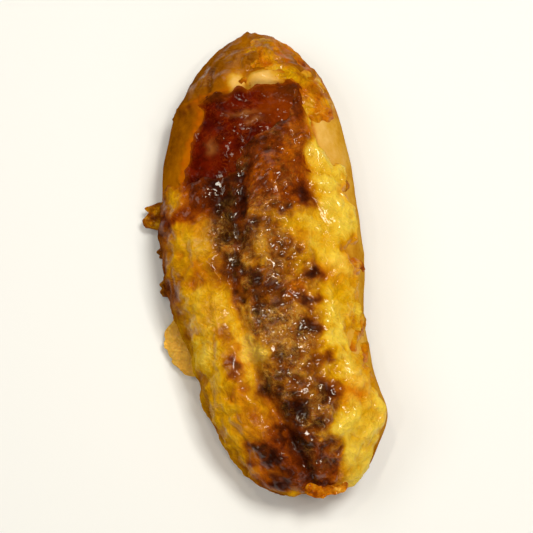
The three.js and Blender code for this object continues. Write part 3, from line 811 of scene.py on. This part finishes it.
# Crisp frills: cheese that ran off the blanket at the left and at the near tip and fried hard into thin
# brittle flakes with ragged rims. They are one with the blanket's hem.
FLAKE_STEPS, FLAKE_REACH = 120, 40
FLAKE_ROOT, FLAKE_RIM, FLAKE_BITE, FLAKE_DROOP = 1.5, 0.5, 1.5, 1.2
FLAKE_WET = 0.4
FRILLS = [
    {"s": (0.2, 0.34), "turn": (190, 190), "reach": 9, "ragged": 2.2, "bake": 0.42, "rust": 0.4},
    {"s": (0.08, 0.16), "turn": (192, 192), "reach": 6, "ragged": 1.8, "bake": 0.52, "rust": 0.3},
    {"s": (-0.1, 0.03), "turn": (194, 194), "reach": 6, "ragged": 1.6, "bake": 0.5, "rust": 0.3},
    {"s": (-0.45, -0.15), "turn": (194, 194), "reach": 11.5, "ragged": 1, "bake": -0.38, "rust": 0.8},
    {"s": (-0.95, -0.955), "turn": (48, 112), "reach": 7.5, "ragged": 0.6, "bake": 0.2, "rust": 1},
]


# A flake grows out of the crust, from a thick root inside it to a thin rim that droops: t runs along the
# hem, and v from root to rim.
def flake(frill):
    t = np.linspace(0, 1, FLAKE_STEPS)[:, None]
    v = np.linspace(0, 1, FLAKE_REACH)[None, :]
    s, turn = (ends[0] + (ends[1] - ends[0]) * t for ends in (frill["s"], np.radians(frill["turn"])))
    root, away = crust(s, turn), outward(s, turn) * (1, 1, 0.3)
    away = away / np.linalg.norm(away, axis=-1, keepdims=True)
    ragged_rim = 1.2 * swells(root, 3.5, 1, 51) + 0.8 * swells(root, 1.5, 1, 55)
    reach = frill["reach"] * (1 - np.abs(2 * t - 1) ** 3.5) + frill["ragged"] * ragged_rim
    reach = np.maximum(reach, 0.4)
    spread = root - FLAKE_BITE * away + away * (reach * v)[..., None]
    lift = 1.1 * swells(spread, 4, 2, 52) + 0.6 * swells(spread, 1.8, 2, 53) - FLAKE_DROOP * v * v
    half = FLAKE_ROOT - (FLAKE_ROOT - FLAKE_RIM) * v + 0 * t
    top, under = spread.copy(), spread[:, ::-1].copy()
    top[..., 2] += lift + half
    under[..., 2] += (lift - half)[:, ::-1]
    return np.concatenate([under, top], axis=1)


# Each ring of a flake runs from the rim underneath to the root and back over the top. The root is browner.
flakes = [flake(frill) for frill in FRILLS]
from_root = np.abs(np.linspace(-1, 1, 2 * FLAKE_REACH))
browned_root = 0.3 * smoothstep(1 - from_root, 0.75, 1)
flake_marks = {"bake": [], "rust": [], "wet": []}
for frill, body in zip(FRILLS, flakes):
    flake_marks["bake"].append(frill["bake"] + browned_root + 0.3 * swells(body, 2.5, 3, 54))
    flake_marks["rust"].append(np.full(body.shape[:2], frill["rust"]))
    flake_marks["wet"].append(np.full(body.shape[:2], FLAKE_WET))
frills = ringed_piece("crisp_frills", flakes, flake_marks)
frills.data.materials.append(cheese_finish("crisp_cheese", 500, False))
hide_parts("cheese")
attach(frills, "root")

# Floor and light: a plain pale table in a dim warm room. One soft lamp stands at the right and slightly
# behind, with a weaker one at the left and two near and far. Four small lamps make the glints in the oil.
bpy.ops.mesh.primitive_plane_add(size=4)
floor = bpy.context.object
floor.name = "floor"
floor_finish, tree, floor_shader = new_material("pale_table")
feed(tree, floor_shader, {"Base Color": (0.82, 0.85, 0.92, 1), "Roughness": 0.9})
floor.data.materials.append(floor_finish)

# Each lamp's place and size in metres, its power in watts and its colour. All shine on the stick.
LAMPS = {
    "key_lamp": ((0.24, 0.12, 0.78), 0.22, 4.4, (1, 0.95, 0.8)),
    "left_fill": ((-0.45, 0.1, 0.6), 0.35, 1.1, (1, 0.95, 0.8)),
    "far_glint": ((-0.1, 0.2, 0.8), 0.05, 0.6, (1, 0.86, 0.62)),
    "near_glint": ((0.12, -0.22, 0.78), 0.05, 0.6, (1, 0.86, 0.62)),
    "right_glint": ((0.34, -0.04, 0.72), 0.04, 0.5, (1, 0.9, 0.72)),
    "left_glint": ((-0.24, -0.06, 0.78), 0.04, 0.4, (1, 0.9, 0.72)),
    "near_fill": ((0.1, -0.65, 0.4), 0.5, 0.7, (1, 0.95, 0.85)),
    "far_fill": ((0, 0.65, 0.4), 0.5, 0.7, (1, 0.95, 0.85)),
}
LAMP_AIM = Vector((0, 0, 0.02))
for name, (place, size, watts, colour) in LAMPS.items():
    light = bpy.data.lights.new(name, "AREA")
    light.size = size
    light.energy = watts
    light.color = colour
    lamp = bpy.data.objects.new(name, light)
    lamp.location = place
    lamp.rotation_euler = (LAMP_AIM - Vector(place)).to_track_quat("-Z", "Y").to_euler()
    bpy.context.scene.collection.objects.link(lamp)
room = bpy.data.worlds.new("room")
room.use_nodes = True
feed(room.node_tree, room.node_tree.nodes["Background"], {"Color": (1, 0.94, 0.85, 1), "Strength": 0.1})
bpy.context.scene.world = room
bpy.context.scene.view_settings.view_transform = "Standard"

# Camera: high above the stick and slightly to its near side and left, at the photo's angle and framing.
# Lengths are in millimetres, and the frame is shifted to the right and down from the stick's middle.
SENSOR_WIDTH, LENS = 36, 94.3
CAMERA_DISTANCE, AIM_HEIGHT, FRAME_RIGHT, FRAME_DOWN = 500, 18, 3.4, 1.8
azimuth, elevation = np.radians(-8), np.radians(78)
camera_data = bpy.data.cameras.new("camera")
camera_data.sensor_width = SENSOR_WIDTH
camera_data.lens = LENS
camera = bpy.data.objects.new("camera", camera_data)
level = np.cos(elevation)
back = Vector((np.sin(azimuth) * level, -np.cos(azimuth) * level, np.sin(elevation)))
right = Vector((np.cos(azimuth), np.sin(azimuth), 0))
target = Vector((0, 0, AIM_HEIGHT)) + FRAME_RIGHT * right - FRAME_DOWN * back.cross(right)
camera.location = (target + CAMERA_DISTANCE * back) * MM
camera.rotation_euler = (-back).to_track_quat("-Z", "Y").to_euler()
bpy.context.scene.collection.objects.link(camera)
bpy.context.scene.camera = camera
